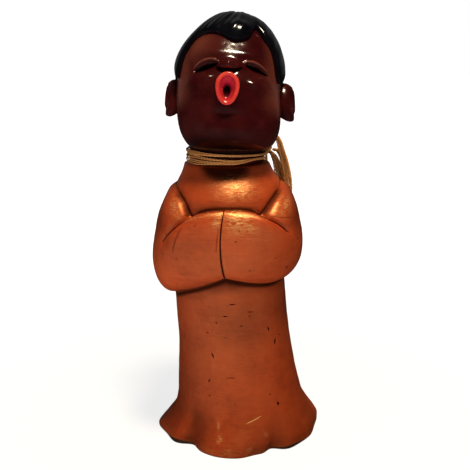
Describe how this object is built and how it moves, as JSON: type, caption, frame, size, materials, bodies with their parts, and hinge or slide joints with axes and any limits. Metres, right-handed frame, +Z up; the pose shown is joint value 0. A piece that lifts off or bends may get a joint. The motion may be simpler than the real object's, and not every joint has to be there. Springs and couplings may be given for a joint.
{
  "type": "choir singer figurine",
  "caption": "Standing choir singer in a copper robe with folded sleeves, head tilted back, mouth open in song, gold cord tied round the neck.",
  "frame": {"origin": "middle of the figurine's extent, on the surface it stands on", "axes": "+Z up along the figurine, -Y towards the front with the face and folded arms, +X towards its left arm"},
  "size_m": [0.0604, 0.0596, 0.1502],
  "materials": {
    "copper_paint": "metallic copper paint brushed over a cast body, satin, slightly worn",
    "skin_enamel": "dark brown gloss enamel",
    "hair_enamel": "black gloss enamel",
    "lip_enamel": "red gloss enamel",
    "gold_cord": "twisted gold cord"
  },
  "bodies": {
    "root": {"robe_shell": "copper_paint", "right_sleeve": "copper_paint", "left_sleeve": "copper_paint", "head": "skin_enamel", "left_ear": "skin_enamel", "right_ear": "skin_enamel", "hair_cap": "hair_enamel", "lip_ring": "lip_enamel", "neck_cord": "gold_cord", "bow_knot": "gold_cord", "bow_loop_outer": "gold_cord", "bow_loop_inner": "gold_cord", "cord_tail_front": "gold_cord", "cord_tail_front_knot": "gold_cord", "cord_tail_back": "gold_cord", "cord_tail_back_knot": "gold_cord"}
  },
  "joints": []
}
